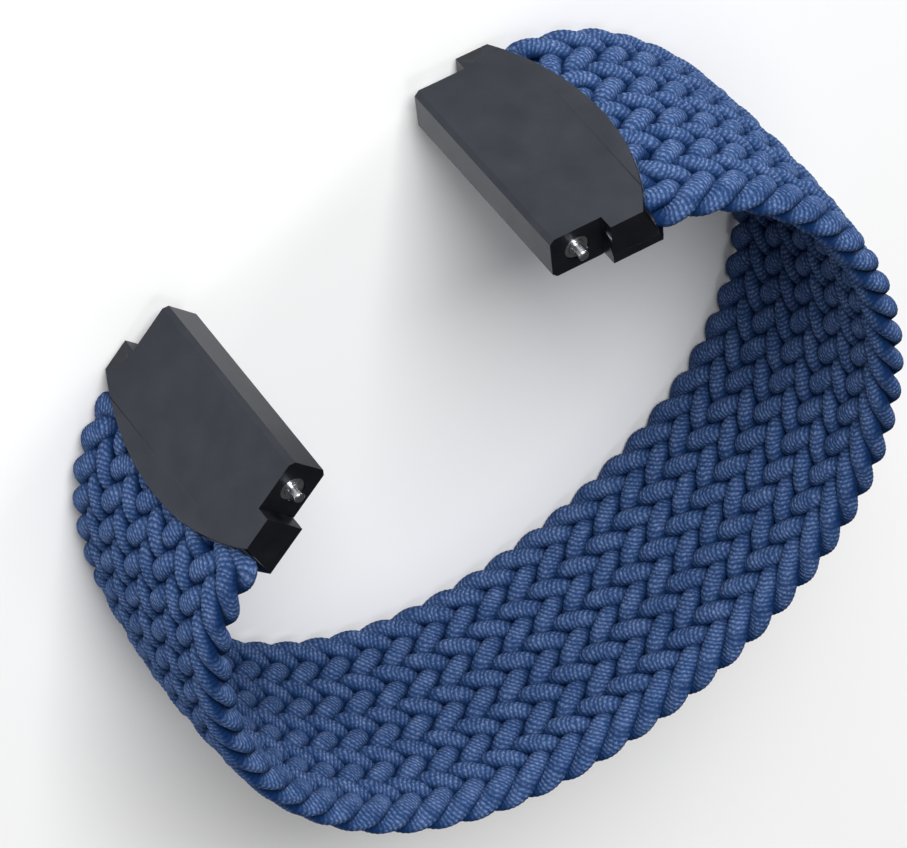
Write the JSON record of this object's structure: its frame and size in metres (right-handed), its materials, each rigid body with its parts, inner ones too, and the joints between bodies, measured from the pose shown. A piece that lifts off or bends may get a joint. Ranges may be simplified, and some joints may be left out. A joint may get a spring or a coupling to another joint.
{
  "type": "fitness tracker band",
  "caption": "Braided stretch band for a round fitness tracker, an open flexing loop with a clamped metal fitting and a quick-release spring bar at each end.",
  "frame": {"origin": "middle of the footprint, on the plane that the band's lower edge lies on", "axes": "+X across the tracker case, -Y out of the tracker's face, +Z across the band's width"},
  "size_m": [0.0568, 0.0502, 0.02],
  "materials": {
    "woven_yarn": "navy braided cord, ribbed, matt",
    "sealed_yarn": "heat-sealed yarn, dull",
    "dark_metal": "bead-blasted dark anodised",
    "steel": "turned stainless steel"
  },
  "bodies": {
    "left_half": {"left_braid": "woven_yarn", "left_sealed_end": "sealed_yarn", "left_outer_cover": "dark_metal", "left_inner_cover": "dark_metal", "left_clamp_plate": "steel", "left_clamp_screws": "steel", "left_bar_tube": "steel", "left_fixed_tip": "steel", "left_bar_spring": "steel"},
    "left_tip": {"left_sliding_tip": "steel", "left_release_knob": "dark_metal"},
    "right_half": {"right_braid": "woven_yarn", "right_sealed_end": "sealed_yarn", "right_outer_cover": "dark_metal", "right_inner_cover": "dark_metal", "right_clamp_plate": "steel", "right_clamp_screws": "steel", "right_bar_tube": "steel", "right_fixed_tip": "steel", "right_bar_spring": "steel"},
    "right_tip": {"right_sliding_tip": "steel", "right_release_knob": "dark_metal"}
  },
  "joints": [
    {"name": "band_flex", "type": "hinge", "parent": "left_half", "child": "right_half", "pos_m": [0, 0.02392, 0.01], "axis": [0, 0, 1], "range_deg": [-12, 30], "stiffness_Nm_per_rad": 0.02},
    {"name": "left_tip_slide", "type": "slide", "parent": "left_half", "child": "left_tip", "axis": [0, 0, -1], "range_m": [0, 0.0012], "stiffness_N_per_m": 250, "springref_m": -0.0006, "deforming": ["left_bar_spring"]},
    {"name": "right_tip_slide", "type": "slide", "parent": "right_half", "child": "right_tip", "axis": [0, 0, -1], "range_m": [0, 0.0012], "stiffness_N_per_m": 250, "springref_m": -0.0006, "deforming": ["right_bar_spring"]}
  ]
}
